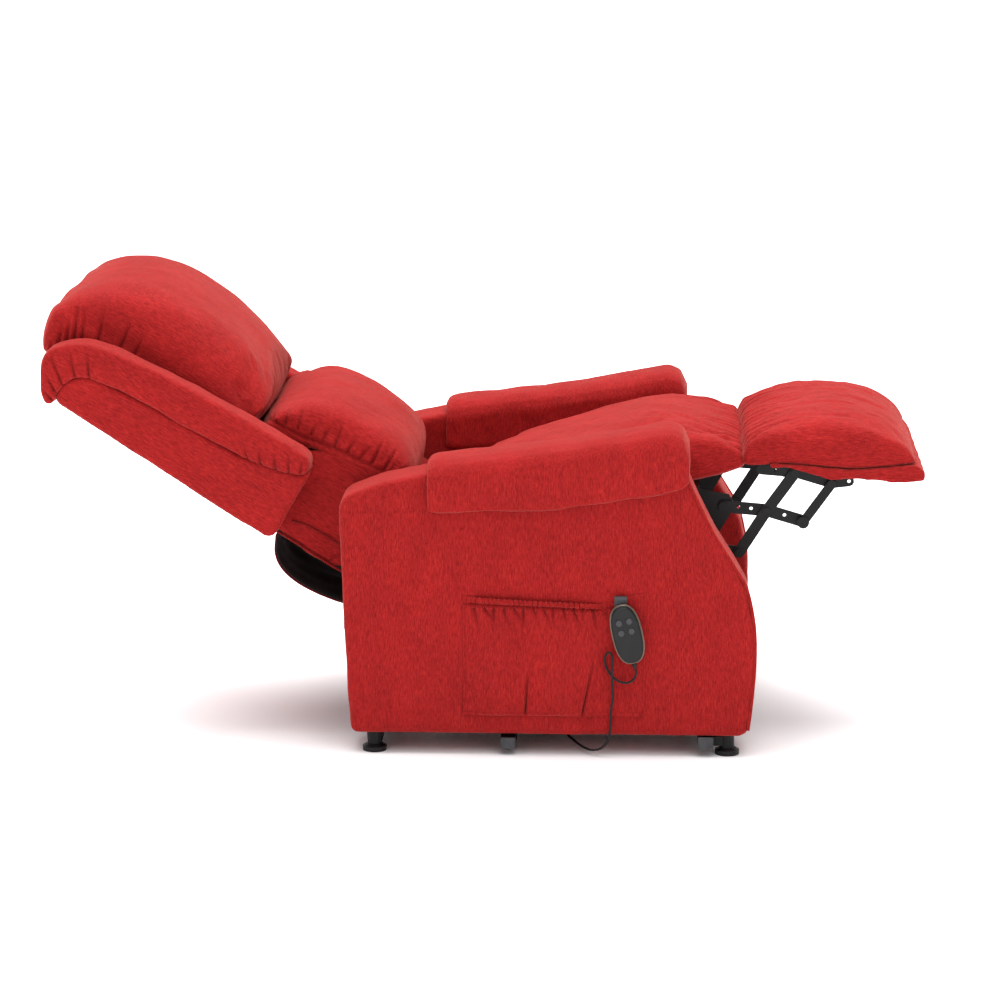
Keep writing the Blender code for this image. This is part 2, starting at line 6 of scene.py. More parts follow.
import bmesh
import bpy
import numpy as np
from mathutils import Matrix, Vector

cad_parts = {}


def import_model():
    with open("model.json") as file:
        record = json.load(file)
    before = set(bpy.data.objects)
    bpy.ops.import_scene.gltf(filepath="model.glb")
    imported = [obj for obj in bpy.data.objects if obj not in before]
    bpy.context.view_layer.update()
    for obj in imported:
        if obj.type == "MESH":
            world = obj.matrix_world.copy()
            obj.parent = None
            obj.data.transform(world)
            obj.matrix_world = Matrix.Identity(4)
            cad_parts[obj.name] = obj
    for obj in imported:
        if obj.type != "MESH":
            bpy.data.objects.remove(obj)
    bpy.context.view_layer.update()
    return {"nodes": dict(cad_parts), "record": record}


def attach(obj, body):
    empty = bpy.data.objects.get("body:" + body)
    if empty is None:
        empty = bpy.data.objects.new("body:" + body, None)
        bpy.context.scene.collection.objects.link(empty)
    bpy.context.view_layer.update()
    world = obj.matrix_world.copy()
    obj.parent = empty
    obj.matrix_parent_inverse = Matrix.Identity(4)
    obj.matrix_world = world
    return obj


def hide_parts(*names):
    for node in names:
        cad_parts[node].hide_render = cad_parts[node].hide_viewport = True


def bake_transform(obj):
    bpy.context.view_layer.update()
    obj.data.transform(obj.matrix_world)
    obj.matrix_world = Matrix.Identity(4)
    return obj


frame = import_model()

NODES = frame["nodes"]

# Places are written as (x, forward, up) in millimetres. The frame's origin lies this far ahead of theirs.
DATUM_BEHIND = 23.0
SIDES = (("right", -1), ("left", 1))

# The handset's middle as (forward, up), half its length, and its lean.
HANDSET_CENTRE = (257.0, 250.0)
HANDSET_LONG = 57.0
HANDSET_LEAN = math.radians(13)

# The way the nap runs, in degrees from upright, turned about X.
ALONG_UP, ALONG_SEAT, ALONG_BACK, ALONG_REST = 0.0, 77.0, -57.0, 88.0
CRIMSON_DARK = (0.185, 0.006, 0.007, 1)
CRIMSON = (0.310, 0.0110, 0.0108, 1)
CRIMSON_LIGHT = (0.42, 0.021, 0.019, 1)

# How the seat and the back lie, in degrees of rise towards the front, and what follows from it.
SEAT_LIE, SEAT_SLOPE = 13.8, 0.2462
BACK_LIE, BACK_LIE_COS, BACK_LIE_SIN = -32, 0.848, 0.53

# Half the widths of the soft parts, and how far out their sides may lie.
SEAT_HALF, FOOTREST_HALF, HEAD_HALF, LUMBAR_HALF, BRIDGE_HALF, FLAP_HALF = 241, 251, 264, 241, 219, 226
BOARD_HALF, ARM_PAD_INNER, LUMBAR_OUTER = 252, 242, 240.5
WING_INNER, WING_OUTER = 266, 343

CAMERA_AZIMUTH, CAMERA_ELEVATION = math.radians(2.46), math.radians(11.96)
CAMERA_DISTANCE, CAMERA_LENS, SENSOR_WIDTH = 7.338, 131.04, 36
LOOKED_AT = (0, -4, 427)

CORD_RADIUS = 2.3
FRAMES_OF_CLOTH = 20


# ---------------------------------------------------------------- places

def spot(point):
    """(x, forward, up) in millimetres to world metres."""
    return Vector((point[0] / 1000, -(point[1] + DATUM_BEHIND) / 1000, point[2] / 1000))


def layout(coords):
    """World metres to (x, forward, up) in millimetres, for many points."""
    return np.stack([coords[:, 0] * 1000, -coords[:, 1] * 1000 - DATUM_BEHIND, coords[:, 2] * 1000], axis=1)


def world(points):
    """(x, forward, up) in millimetres to world metres, for many points."""
    return np.stack([points[:, 0], -(points[:, 1] + DATUM_BEHIND), points[:, 2]], axis=1) / 1000


# ---------------------------------------------------------------- camera and light

def add_camera():
    turn, rise = CAMERA_AZIMUTH, CAMERA_ELEVATION
    back = Vector((-math.cos(turn) * math.cos(rise), -math.sin(turn) * math.cos(rise), math.sin(rise)))
    data = bpy.data.cameras.new("camera")
    data.lens, data.sensor_width = CAMERA_LENS, SENSOR_WIDTH
    camera = bpy.data.objects.new("camera", data)
    camera.location = spot(LOOKED_AT) + back * CAMERA_DISTANCE
    camera.rotation_euler = back.to_track_quat("Z", "Y").to_euler()
    bpy.context.scene.collection.objects.link(camera)
    bpy.context.scene.camera = camera


def add_sun(name, towards, strength, spread):
    """A sun that shines from towards, its disc spread degrees wide."""
    data = bpy.data.lights.new(name, "SUN")
    data.energy, data.angle = strength, math.radians(spread)
    lamp = bpy.data.objects.new(name, data)
    lamp.location = Vector(towards) * 2
    lamp.rotation_euler = Vector(towards).to_track_quat("Z", "Y").to_euler()
    bpy.context.scene.collection.objects.link(lamp)


def add_sky(strength):
    sky = bpy.data.worlds.new("studio")
    sky.use_nodes = True
    shader = sky.node_tree.nodes["Background"]
    shader.inputs["Color"].default_value = (1, 1, 1, 1)
    shader.inputs["Strength"].default_value = strength
    bpy.context.scene.world = sky


def add_floor(reach=30):
    mesh = bpy.data.meshes.new("floor")
    corners = [(-reach, -reach, 0), (reach, -reach, 0), (reach, reach, 0), (-reach, reach, 0)]
    mesh.from_pydata(corners, [], [(0, 1, 2, 3)])
    floor = linked("floor", mesh)
    floor.data.materials.append(plain("floor", (0.93, 0.93, 0.935, 1), 0.8))


def add_studio():
    add_sky(0.74)
    add_sun("key", (-1.0, -0.35, 1.5), 0.72, 40)
    add_sun("top", (0.32, 0.14, 1.5), 5.3, 62)
    add_floor()
    bpy.context.scene.view_settings.view_transform = "Standard"


# ---------------------------------------------------------------- materials

class Graph:
    """Small helper around one material's node tree."""

    def __init__(self, name):
        self.material = bpy.data.materials.new(name)
        self.material.use_nodes = True
        self.tree = self.material.node_tree
        self.shader = self.tree.nodes["Principled BSDF"]

    def node(self, kind, **settings):
        made = self.tree.nodes.new(kind)
        for key, value in settings.items():
            setattr(made, key, value)
        return made

    def link(self, output, target):
        self.tree.links.new(output, target)

    def feed(self, value, socket):
        """A link when value is another node's output, or else the socket's own value."""
        if hasattr(value, "is_linked"):
            self.link(value, socket)
        else:
            socket.default_value = value

    def placed(self, size, tilt=0.0):
        """Object coordinates divided by a feature size in metres, turned about X by tilt."""
        where = self.node("ShaderNodeTexCoord")
        mapping = self.node("ShaderNodeMapping", vector_type="TEXTURE")
        mapping.inputs["Rotation"].default_value = (math.radians(tilt), 0, 0)
        mapping.inputs["Scale"].default_value = size
        self.link(where.outputs["Object"], mapping.inputs["Vector"])
        return mapping.outputs["Vector"]

    def noise(self, vector, detail=2.0, roughness=0.5, distortion=0.0):
        made = self.node("ShaderNodeTexNoise")
        made.inputs["Scale"].default_value = 1.0
        made.inputs["Detail"].default_value = detail
        made.inputs["Roughness"].default_value = roughness
        made.inputs["Distortion"].default_value = distortion
        self.link(vector, made.inputs["Vector"])
        return made.outputs["Fac"]

    def ramp(self, value, stops):
        made = self.node("ShaderNodeValToRGB")
        ramp = made.color_ramp
        while len(ramp.elements) < len(stops):
            ramp.elements.new(0.5)
        for element, (place, colour) in zip(ramp.elements, stops):
            element.position, element.color = place, colour
        self.link(value, made.inputs["Fac"])
        return made.outputs["Color"]

    def mix(self, kind, share, first, second):
        made = self.node("ShaderNodeMix", data_type="RGBA", blend_type=kind)
        for value, place in ((share, 0), (first, 6), (second, 7)):
            self.feed(value, made.inputs[place])
        return made.outputs[2]

    def math(self, kind, first, second):
        made = self.node("ShaderNodeMath", operation=kind)
        for place, value in enumerate((first, second)):
            self.feed(value, made.inputs[place])
        return made.outputs[0]

    def bump(self, height, distance, strength=1.0):
        made = self.node("ShaderNodeBump")
        made.inputs["Strength"].default_value = strength
        made.inputs["Distance"].default_value = distance
        self.link(height, made.inputs["Height"])
        self.link(made.outputs["Normal"], self.shader.inputs["Normal"])

    def set(self, **values):
        for key, value in values.items():
            self.shader.inputs[key.replace("_", " ")].default_value = value


def grey(value):
    return (value, value, value, 1)


def toned(colour, share, lift=0.0):
    """The colour made lighter or darker."""
    return tuple(min(1, c * share + lift) for c in colour[:3]) + (1,)


def plain(name, colour, roughness):
    graph = Graph(name)
    graph.set(Base_Color=colour, Roughness=roughness)
    return graph.material


def varied(graph, tone, stops, colour, light, sheen, roughness, lower, upper):
    """Base colour from tone between two stops, and roughness from sheen between lower and upper."""
    first, last = stops
    graph.link(graph.ramp(tone, [(first, colour), (last, light)]), graph.shader.inputs["Base Color"])
    spread = [(0.3, grey(roughness - lower)), (0.7, grey(roughness + upper))]
    graph.link(graph.ramp(sheen, spread), graph.shader.inputs["Roughness"])


def chenille(name, tilt, shade=1.0):
    """Red chenille: tufted yarns with a streaked nap along one direction."""
    graph = Graph(name)
    streaks = graph.noise(graph.placed((0.0022, 0.0022, 0.013), tilt), 3.0, 0.62)
    blotches = graph.noise(graph.placed((0.06, 0.06, 0.12), tilt), 3.0, 0.55)
    tufts = graph.noise(graph.placed((0.0013, 0.0013, 0.0030), tilt), 2.0, 0.6)
    yarns = zip((0.27, 0.50, 0.74), (CRIMSON_DARK, CRIMSON, CRIMSON_LIGHT))
    colour = graph.ramp(streaks, [(place, toned(yarn, shade)) for place, yarn in yarns])
    worn = graph.ramp(blotches, [(0.30, (0.88, 0.86, 0.88, 1)), (0.70, (1.05, 1.04, 1.04, 1))])
    colour = graph.mix("MULTIPLY", 1.0, colour, worn)
    specks = graph.ramp(tufts, [(0.30, (0.72, 0.70, 0.72, 1)), (0.62, (1.06, 1.06, 1.06, 1))])
    colour = graph.mix("MULTIPLY", 0.8, colour, specks)
    # Painted shade: the fold attribute darkens the cloth along seams and gathers, where shade falls in the
    # creases.
    crease_shade = graph.node("ShaderNodeAttribute", attribute_name="fold").outputs["Fac"]
    shade_of_fold = graph.ramp(crease_shade, [(0.05, (1, 1, 1, 1)), (0.95, (0.34, 0.30, 0.32, 1))])
    graph.link(graph.mix("MULTIPLY", 1.0, colour, shade_of_fold), graph.shader.inputs["Base Color"])
    height = graph.math("ADD", graph.math("MULTIPLY", streaks, 0.6), graph.math("MULTIPLY", tufts, 0.5))
    graph.bump(height, 0.0022, 0.9)
    graph.link(graph.ramp(tufts, [(0.2, grey(0.95)), (0.8, grey(0.75))]), graph.shader.inputs["Roughness"])
    graph.set(Sheen_Weight=0.32, Sheen_Roughness=0.34, Sheen_Tint=(1.0, 0.34, 0.28, 1))
    graph.set(Specular_IOR_Level=0.10)
    return graph.material


def powder_coat(name, colour, roughness, metallic):
    """Satin powder coat with orange peel and cloudy, slightly rubbed tones."""
    graph = Graph(name)
    peel = graph.noise(graph.placed((0.0011,) * 3), 2.0)
    wear = graph.noise(graph.placed((0.030,) * 3), 4.0, 0.6)
    varied(graph, wear, (0.35, 0.75), colour, toned(colour, 1.8, 0.002), wear, roughness, 0.07, 0.12)
    graph.bump(peel, 0.00025, 0.5)
    graph.set(Metallic=metallic, Specular_IOR_Level=0.22)
    return graph.material


def moulded(name, colour, roughness):
    """Moulded plastic with a fine spark-eroded texture."""
    graph = Graph(name)
    pits = graph.noise(graph.placed((0.0009,) * 3), 3.0, 0.6)
    cloud = graph.noise(graph.placed((0.02,) * 3), 2.0)
    varied(graph, cloud, (0.35, 0.7), colour, toned(colour, 1.5, 0.001), pits, roughness, 0.05, 0.08)
    graph.bump(pits, 0.0002, 0.4)
    graph.set(Specular_IOR_Level=0.28)
    return graph.material


def ground_steel(name, colour, roughness):
    """Bare metal with fine grinding lines along X."""
    graph = Graph(name)
    lines = graph.noise(graph.placed((0.02, 0.0004, 0.0004)), 2.0)
    varied(graph, lines, (0.3, 0.7), colour, toned(colour, 1.25), lines, roughness, 0.06, 0.1)
    graph.bump(lines, 0.0001, 0.3)
    graph.set(Metallic=1.0)
    return graph.material


# ---------------------------------------------------------------- mesh tools

def linked(name, mesh):
    item = bpy.data.objects.new(name, mesh)
    bpy.context.scene.collection.objects.link(item)
    return item


def applied(item):
    """The object's modifiers made real."""
    graph = bpy.context.evaluated_depsgraph_get()
    mesh = bpy.data.meshes.new_from_object(item.evaluated_get(graph))
    item.modifiers.clear()
    item.data = mesh
    return item


def weld(mesh):
    """Joins the points that lie on each other, and turns every face outwards."""
    shell = bmesh.new()
    shell.from_mesh(mesh)
    bmesh.ops.remove_doubles(shell, verts=shell.verts, dist=1e-5)
    bmesh.ops.recalc_face_normals(shell, faces=shell.faces)
    shell.to_mesh(mesh)
    shell.free()


def points_of(item):
    """The mesh's points as (x, forward, up) in millimetres."""
    coords = np.empty(len(item.data.vertices) * 3)
    item.data.vertices.foreach_get("co", coords)
    return layout(coords.reshape(-1, 3))


def normals_of(item):
    normals = np.empty(len(item.data.vertices) * 3)
    item.data.vertices.foreach_get("normal", normals)
    normals = normals.reshape(-1, 3)
    return np.stack([normals[:, 0], -normals[:, 1], normals[:, 2]], axis=1)


def put_points(item, points):
    item.data.vertices.foreach_set("co", world(points).ravel().astype(np.float32))
    item.data.update()


def even_skin(item, voxel, rounds):
    """The shape remade as an even mesh of this spacing, in metres, and relaxed."""
    modifier = item.modifiers.new("skin", "REMESH")
    modifier.mode, modifier.voxel_size = "VOXEL", voxel
    applied(item)
    modifier = item.modifiers.new("smooth", "SMOOTH")
    modifier.iterations, modifier.factor = rounds, 0.5
    return applied(item)


def thickened(item, thickness, offset):
    """A sheet made into cloth of this thickness, in metres."""
    modifier = item.modifiers.new("cloth", "SOLIDIFY")
    modifier.thickness, modifier.offset = thickness, offset
    return applied(item)


def soft_copy(name, node, voxel, smooth):
    """A fine even skin over a CAD solid."""
    item = linked(name, NODES[node].data.copy())
    item.data.materials.clear()
    weld(item.data)
    return even_skin(item, voxel, smooth)


def through(p0, p1, p2, p3, steps):
    """Points on the smooth curve from p1 up to p2, with p0 and p3 as its neighbours."""
    return [0.5 * (2 * p1 + (p2 - p0) * t + (2 * p0 - 5 * p1 + 4 * p2 - p3) * t**2
                   + (3 * p1 - p0 - 3 * p2 + p3) * t**3)
            for t in np.linspace(0, 1, steps, endpoint=False)]


def run_along(points):
    """The distance along the points, at each of them."""
    return np.concatenate([[0], np.cumsum(np.linalg.norm(np.diff(points, axis=0), axis=1))])


def smooth_loop(points, count):
    """Evenly spaced points on a closed smooth curve through the given ones."""
    knots = np.array(points, float)
    n = len(knots)
    fine = []
    for i in range(n):
        fine += through(*(knots[(i + k) % n] for k in (-1, 0, 1, 2)), 12)
    fine = np.array(fine + [fine[0]])
    run = run_along(fine)
    where = np.linspace(0, run[-1], count, endpoint=False)
    return np.stack([np.interp(where, run, fine[:, k]) for k in (0, 1)], axis=1)


def smooth_path(route, spacing):
    """Points about spacing apart on a smooth curve through the route."""
    knots = np.array(route, float)
    padded = np.vstack([2 * knots[0] - knots[1], knots, 2 * knots[-1] - knots[-2]])
    fine = []
    for i in range(1, len(padded) - 2):
        fine += through(*padded[i - 1:i + 3], 24)
    fine = np.array(fine + [knots[-1]])
    run = run_along(fine)
    where = np.linspace(0, run[-1], max(2, round(run[-1] / spacing)))
    return [[np.interp(s, run, fine[:, k]) for k in range(3)] for s in where]


def grid_sheet(name, points, columns, turned=False):
    """A sheet through rows of points, columns to a row."""
    faces = []
    for start in range(0, len(points) - columns, columns):
        for i in range(start, start + columns - 1):
            face = (i, i + 1, i + 1 + columns, i + columns)
            faces.append(face if turned else (i, i + columns, i + 1 + columns, i + 1))
    mesh = bpy.data.meshes.new(name)
    mesh.from_pydata([tuple(p) for p in world(np.array(points))], [], faces)
    return linked(name, mesh)


def outward_of(ring):
    """The unit normals of a closed outline, pointing out of it."""
    before, after = ring, np.roll(ring, -1, axis=0)
    along = after - np.roll(ring, 1, axis=0)
    outward = np.column_stack([along[:, 1], -along[:, 0]]) / np.linalg.norm(along, axis=1)[:, None]
    return outward * math.copysign(1, (before[:, 0] * after[:, 1] - before[:, 1] * after[:, 0]).sum())


def soft_form(name, outline, x0, x1, base, lie, end, voxel, smooth, rounding):
    """A pillow of this side outline, from x0 to x1, as a fine even skin.

    Its height over base, square to the lie, sinks to the share called end at both ends.
    """
    ring = smooth_loop(outline, 90)
    up = np.array([-math.sin(math.radians(lie)), math.cos(math.radians(lie))])
    height = np.maximum((ring - np.array(base)) @ up, 0)
    outward = outward_of(ring)
    rows = []
    for s in -np.cos(np.linspace(0, math.pi, 29)):
        share = end + (1 - end) * (1 - abs(s) ** 2.6) ** (1 / 2.6)
        shape = ring - np.outer(height * (1 - share), up)
        shape -= outward * rounding * (1 - (1 - abs(s) ** 9) ** 0.5)
        rows.append(np.column_stack([np.full(len(ring), (x0 + x1) / 2 + (x1 - x0) / 2 * s), shape]))
    count = len(ring)
    faces = [tuple(range(count)), tuple(range(len(rows) * count - 1, (len(rows) - 1) * count - 1, -1))]
    for r in range(len(rows) - 1):
        for i in range(count):
            a, b = r * count + i, r * count + (i + 1) % count
            faces.append((a, b, b + count, a + count))
    mesh = bpy.data.meshes.new(name)
    mesh.from_pydata([tuple(p) for p in world(np.vstack(rows))], [], faces)
    weld(mesh)
    return even_skin(linked(name, mesh), voxel, smooth)


def sew_down(item, pinned):
    """A vertex group named sewn, with ten steps of weight."""
    group = item.vertex_groups.new(name="sewn")
    for level in range(1, 11):
        chosen = np.flatnonzero(np.round(pinned * 10) == level)
        if len(chosen):
            group.add([int(i) for i in chosen], level / 10, "REPLACE")


def inflate(item, pinned, cap, pressure, shrink):
    """Cloth filled with air: shrunk first, pinned where it is sewn, and moved cap at most."""
    start = points_of(item) - normals_of(item) * shrink * (1 - pinned)[:, None]
    put_points(item, start)
    sew_down(item, pinned)
    modifier = item.modifiers.new("cloth", "CLOTH")
    cloth = modifier.settings
    cloth.quality, cloth.mass = 4, 0.4
    cloth.tension_stiffness = cloth.compression_stiffness = 14
    cloth.shear_stiffness, cloth.bending_stiffness = 6, 0.8
    cloth.use_pressure, cloth.uniform_pressure_force = True, pressure
    cloth.effector_weights.gravity = 0
    cloth.vertex_group_mass = "sewn"
    modifier.collision_settings.use_collision = False
    modifier.point_cache.frame_start, modifier.point_cache.frame_end = 1, FRAMES_OF_CLOTH
    for number in range(1, FRAMES_OF_CLOTH + 1):
        bpy.context.scene.frame_set(number)
    move = points_of(item.evaluated_get(bpy.context.evaluated_depsgraph_get())) - start
    reach = np.linalg.norm(move, axis=1, keepdims=True)
    item.modifiers.clear()
    bpy.context.scene.frame_set(1)
    put_points(item, start + move * np.minimum(1, cap / np.maximum(reach, 1e-6)))


def finer(item):
    modifier = item.modifiers.new("finer", "SUBSURF")
    modifier.levels = modifier.render_levels = 1
    return applied(item)


def dressed(item, material):
    item.data.materials.clear()
    item.data.materials.append(material)
    item.data.polygons.foreach_set("use_smooth", [True] * len(item.data.polygons))


def finished(item, material, body, *nodes, slot="red_chenille", padded=None):
    """Gives the piece its material and body, and hides the CAD nodes it stands for."""
    dressed(item, material)
    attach(item, body)
    if nodes:
        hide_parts(*nodes)


def smoothstep(value, low, high):
    """0 up to low, 1 from high on, and smooth between them."""
    t = np.clip((value - low) / (high - low), 0, 1)
    return t * t * (3 - 2 * t)


def ripple(points, size, seed):
    """A cheap smooth random field, from a few crossing waves."""
    source = np.random.default_rng(seed)
    total = np.zeros(len(points))
    for _ in range(14):
        direction = source.normal(size=3)
        direction /= np.linalg.norm(direction)
        wave = 2 * math.pi / (size * source.uniform(0.6, 1.6))
        total += np.sin(points @ direction * wave + source.uniform(0, 6.28))
    return total / 4.5


def line_distance(flat, route):
    """Distance from points in a plane to a polyline, how far along it that is, and its length."""
    best, run, where = np.full(len(flat), 1e9), 0.0, np.zeros(len(flat))
    for a, b in zip(np.array(route[:-1], float), np.array(route[1:], float)):
        span = b - a
        length = math.hypot(*span)
        t = np.clip(((flat - a) @ span) / length**2, 0, 1)
        gap = np.linalg.norm(flat - (a + t[:, None] * span), axis=1)
        nearer = gap < best
        best = np.where(nearer, gap, best)
        where = np.where(nearer, run + t * length, where)
        run += length
    return best, where, run


class Surface:
    """A mesh whose points are pushed along their normals, in millimetres, with painted shade kept for its
    seams and folds.
    """

    PLANES = {"side": (1, 2), "top": (0, 1)}

    def __init__(self, item):
        self.item, self.points, self.normals = item, points_of(item), normals_of(item)
        self.push = np.zeros(len(self.points))
        self.fold = np.zeros(len(self.points))

    def seam(self, plane, route, width, depth, mask=1.0, pucker=0.0, pitch=16.0):
        """A sewn line that sinks in, with small puckers beside it, and painted shade along its groove."""
        gap, run, _ = line_distance(self.points[:, self.PLANES[plane]], route)
        groove = np.exp(-((gap / width) ** 2))
        beside = np.exp(-(((gap - 2.2 * width) / (1.6 * width)) ** 2))
        wave = np.sin(run * 2 * math.pi / pitch + 1.3 * np.sin(run / 23.0))
        self.push += mask * (-depth * groove + beside * (0.25 * depth + pucker * wave))
        # Painted shade along the groove, at 0.4 of full strength.
        self.fold = np.maximum(self.fold, 0.4 * mask * np.exp(-((gap / width) ** 2)))

    def gather(self, plane, start, end, width, depth, mask=1.0, shade=1.0):
        """A fold that is deep at start and fades out at end; shade sets how dark the painted shade along it
        is.
        """
        gap, run, length = line_distance(self.points[:, self.PLANES[plane]], (start, end))
        fade = (1 - run / length) ** 0.8 * np.minimum(1, run / length * 12 + 0.4)
        flank = np.exp(-(((gap - 1.9 * width) / (1.2 * width)) ** 2))
        self.push += mask * fade * (-depth * np.exp(-((gap / width) ** 2)) + 0.35 * depth * flank)
        # Painted shade along the fold, as strong as shade.
        self.fold = np.maximum(self.fold, shade * mask * fade * np.exp(-((1.5 * gap / width) ** 2)))

    def noise(self, size, amount, seed, mask=1.0):
        self.push += mask * amount * ripple(self.points, size, seed)

    def done(self, least=0, most=1000):
        """Moves the points, and keeps them that far out to each side. It also stores the painted shade of the
        seams and folds as the fold attribute.
        """
        points = self.points + self.normals * self.push[:, None]
        points[:, 0] = np.sign(points[:, 0]) * np.clip(np.abs(points[:, 0]), least, most)
        put_points(self.item, points)
        shade_layer = self.item.data.attributes.new("fold", "FLOAT", "POINT")
        shade_layer.data.foreach_set("value", np.clip(self.fold, 0, 1).astype(np.float32))
        return self.item


def side_mask(surface, side, soft=0.35):
    """1 where the surface looks out to that side."""
    return smoothstep(surface.normals[:, 0] * side, 0.05, soft)


def tube(name, points, radius, body, material):
    """A round tube along the points, its radius in millimetres."""
    curve = bpy.data.curves.new(name, "CURVE")
    curve.dimensions, curve.bevel_depth, curve.bevel_resolution = "3D", radius / 1000, 3
    curve.use_fill_caps = True
    spline = curve.splines.new("POLY")
    spline.points.add(len(points) - 1)
    for knot, point in zip(spline.points, points):
        knot.co = (*spot(point), 1)
    curve.materials.append(material)
    item = linked(name, curve)
    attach(item, body)
    return item


# ---------------------------------------------------------------- cord

def below_handset(distance):
    """The place on the handset's long axis, this far below its lower end."""
    along = -HANDSET_LONG - distance
    forward, up = HANDSET_CENTRE
    return (-394, forward - along * math.sin(HANDSET_LEAN), up + along * math.cos(HANDSET_LEAN))


def add_cord():
    leaving = [below_handset(distance) for distance in (12.6, 18, 23)]
    loop = [(-393, 270, 160), (-391, 256, 152), (-389, 236, 158), (-387, 220, 176), (-387, 214, 198),
            (-389, 221, 213), (-392, 229, 204)]
    fall = [(-393, 228, 184), (-390, 229, 150), (-387, 230, 122), (-385, 227, 94), (-385, 226, 62),
            (-384, 221, 36), (-379, 208, 18), (-370, 188, 12), (-330, 168, 9)]
    hidden = [(-285, 148, 12), (-250, 110, 34), (-243, 40, 68), (-236, -30, 84), (-224, -80, 100),
              (-216, -114, 120), (-205, -129, 125), (-193.6, -130, 125)]
    route = leaving + loop + fall + hidden
    points = smooth_path(route, 8)
    cord = tube("handset_lead", points, CORD_RADIUS, "chair_body", LOOKS["cord"])
    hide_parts("handset_cord")


# ---------------------------------------------------------------- chair body

PANEL_FRONT = [(348, 606), (374, 543), (394, 500), (423, 442), (462, 380), (487, 335), (502, 266),
               (505, 197), (500, 117), (493, 55)]


def add_side_panels():
    for word, s in SIDES:
        node = f"side_panel_{word}"
        surface = Surface(finer(soft_copy(f"arm_box_{word}", node, 0.007, 3)))
        height = surface.points[:, 2]
        face = side_mask(surface, s)
        inside = smoothstep(height, 60, 140) * smoothstep(520 - height, 0, 80)
        surface.push += face * inside * 1.5
        surface.seam("side", [(-310, 480), (-100, 482), (-60, 484)], 2.2, 1.6, 0.6 * face, 0.4, 22)
        surface.noise(140, 0.9, 5, face)
        surface.noise(38, 0.25, 6)
        finished(surface.done(), LOOKS["panel"], "chair_body", node)
        edge = [(s * 371, f - 1.5, z) for f, z in PANEL_FRONT]
        tube(f"arm_box_piping_{word}", smooth_path(edge, 6), 3.2, "chair_body", LOOKS["panel"])


def add_arm_pads():
    hem = [(-121, 480), (0, 485), (127, 489), (250, 510), (374, 532)]
    for word, s in SIDES:
        node = f"arm_pad_{word}"
        surface = Surface(finer(soft_copy(f"arm_pad_cover_{word}", node, 0.006, 3)))
        face = side_mask(surface, s)
        surface.noise(110, 1.6, 11)
        surface.noise(36, 0.4, 12)
        surface.seam("side", hem, 3, 1.6, face, 0.6, 26)
        finished(surface.done(least=ARM_PAD_INNER), LOOKS["panel"], "chair_body", node, padded=0.5)


def pocket_sheet():
    """The pocket's outer sheet, slack behind its sewn front and full in its middle."""
    columns, rows = 230, 110
    grid_f, grid_t = np.meshgrid(np.linspace(-60, 292, columns), np.linspace(0, 1, rows))
    slack = smoothstep(grid_f, -60, -20) * (1 - smoothstep(grid_f, 168, 216))
    top = np.interp(grid_f, [-60, 0, 70, 147, 204, 236, 270, 292], [318, 315, 311, 308, 305, 309, 324, 326])
    gathers = np.sin(grid_f / 1.55 + 0.9 * np.sin(grid_f / 9.0))
    hem = smoothstep(grid_t, 0.90, 0.97)
    z = 82 + (top + 1.6 * gathers * slack - 82) * grid_t
    full = np.sin(math.pi * np.clip(grid_t, 0, 1) ** 0.75) ** 0.8
    panel = 0.5 + 0.5 * np.cos((grid_f - 118) / 54 * math.pi)
    sag = np.exp(-(((grid_f - 96) / 16) ** 2)) * np.exp(-(((grid_t - 0.55) / 0.3) ** 2))
    depth = 2.0 + slack * (2.0 + 13.0 * full * (0.45 + 0.55 * panel) - 4.0 * sag)
    depth += hem * slack * (5.0 + 1.8 * gathers)
    points = np.stack([-(375.8 + depth).ravel(), grid_f.ravel(), z.ravel()], axis=1)
    return grid_sheet("magazine_pocket", points, columns, turned=True)


def add_pocket():
    """A gathered magazine pocket with two pleats, sewn flat towards the front."""
    surface = Surface(pocket_sheet())
    if surface.normals[:, 0].mean() > 0:
        surface.normals *= -1
    for pleat in (((61, 84), (67, 176)), ((171, 84), (196, 212))):
        surface.gather("side", *pleat, 2.6, 8.0)
    for index, f in enumerate(range(-38, 216, 19)):
        lean = 10 + 12 * math.sin(index * 2.1)
        end = (f + lean, 296 - 26 - 24 * math.cos(index * 1.3) ** 2)
        surface.gather("side", (f, 296), end, 4.0, 4.5, 0.8)
    surface.seam("side", [(-58, 304), (70, 299), (147, 296), (204, 293), (240, 299)], 2.2, 4.0, 1.2, 2.2, 9)
    for route in ([(-56, 88), (288, 90)], [(287, 90), (287, 320)], [(-55, 88), (-55, 312)]):
        surface.seam("side", route, 1.5, 0.9, 0.6, 0.3, 7)
    surface.push = np.maximum(surface.push, 376.6 + surface.points[:, 0])
    surface.noise(45, 0.5, 81)
    finished(thickened(surface.done(), 0.0022, -1), LOOKS["panel"], "chair_body", "side_pocket")


# ---------------------------------------------------------------- seat and footrest

